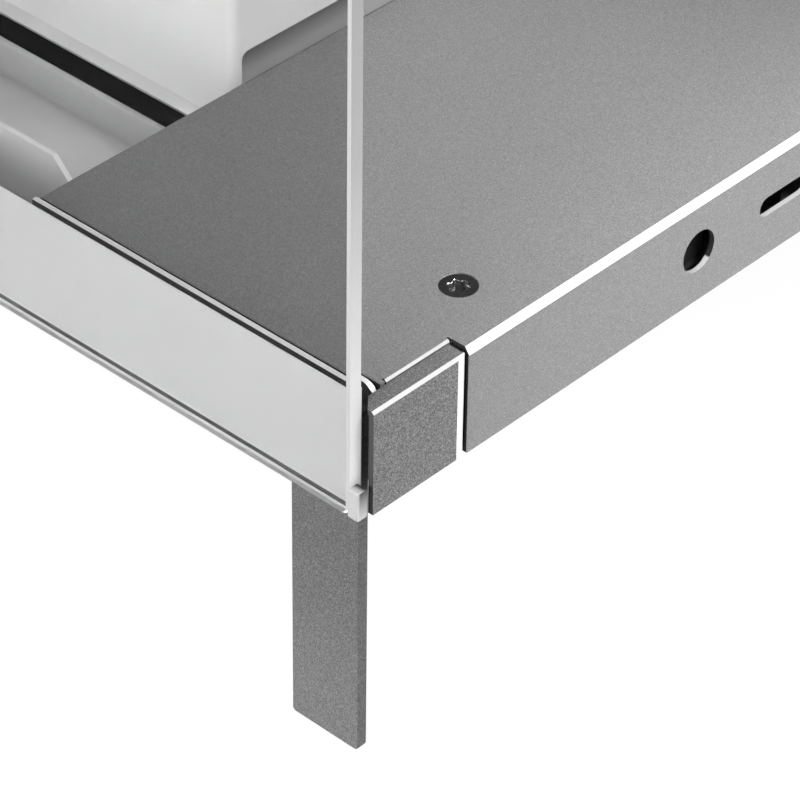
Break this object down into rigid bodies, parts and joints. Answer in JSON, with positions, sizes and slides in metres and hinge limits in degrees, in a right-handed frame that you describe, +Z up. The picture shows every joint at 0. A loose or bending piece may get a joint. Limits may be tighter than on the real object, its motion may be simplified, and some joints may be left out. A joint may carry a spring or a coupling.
{
  "type": "mid tower pc case",
  "caption": "Mid tower computer case with a clear glass side, folded metal base on flat-bar legs, open front, steel frame, front ports and a slide-out dust filter.",
  "frame": {"origin": "on the floor under the middle of the case", "axes": "+X to the right as seen from the front (glass at -X), +Y from front to rear, +Z up"},
  "size_m": [0.235, 0.462, 0.524],
  "materials": {
    "grey_paint": "fine satin grain",
    "pale_paint": "satin",
    "clear_glass": "clear",
    "dark_steel": "dark plated",
    "bright_steel": "plain",
    "brass": "machined",
    "pale_plastic": "matte",
    "pale_film": "printed film",
    "dark_plastic": "matte",
    "dark_rubber": "matte",
    "board": "satin"
  },
  "bodies": {
    "case": {"audio_jack": "dark_plastic", "cable_grommets": "dark_rubber", "corner_block_left": "grey_paint", "corner_block_right": "grey_paint", "deck_posts": "bright_steel", "deck_screws": "dark_steel", "edge_strip": "dark_rubber", "filter_runners": "grey_paint", "floor_pan": "grey_paint", "front_deck": "grey_paint", "front_pillar": "grey_paint", "glass_corner_pads": "pale_plastic", "glass_hanger_bottom": "bright_steel", "glass_hanger_top": "bright_steel", "left_glass_panel": "clear_glass", "leg_front_left": "grey_paint", "leg_front_right": "grey_paint", "leg_rear_left": "grey_paint", "leg_rear_right": "grey_paint", "leg_screws": "dark_steel", "motherboard_tray": "grey_paint", "pane_bands": "pale_film", "panel_clips": "dark_plastic", "panel_studs_left": "bright_steel", "panel_studs_right": "bright_steel", "port_board": "board", "port_posts": "bright_steel", "power_switch": "dark_plastic", "psu_pads": "dark_rubber", "psu_shroud": "pale_paint", "rail_front_left": "grey_paint", "rail_front_right": "grey_paint", "rail_rear_left": "grey_paint", "rail_rear_right": "grey_paint", "rear_panel": "grey_paint", "right_side_panel": "grey_paint", "sill_plate": "grey_paint", "slot_cover_1": "grey_paint", "slot_cover_2": "grey_paint", "slot_cover_3": "grey_paint", "slot_cover_4": "grey_paint", "slot_cover_5": "grey_paint", "slot_cover_6": "grey_paint", "slot_cover_7": "grey_paint", "slot_ledge": "grey_paint", "slot_screws": "dark_steel", "standoffs": "brass", "top_panel": "grey_paint", "usb_a_port": "bright_steel", "usb_c_port": "bright_steel"},
    "power_button": {"power_button": "dark_plastic"},
    "dust_filter": {"dust_filter": "dark_plastic"}
  },
  "joints": [
    {"name": "power_button_press", "type": "slide", "parent": "case", "child": "power_button", "axis": [0, 1, 0], "range_m": [0, 0.0008], "stiffness_N_per_m": 300},
    {"name": "dust_filter_slide", "type": "slide", "parent": "case", "child": "dust_filter", "axis": [0, 1, 0], "range_m": [0, 0.19]}
  ]
}
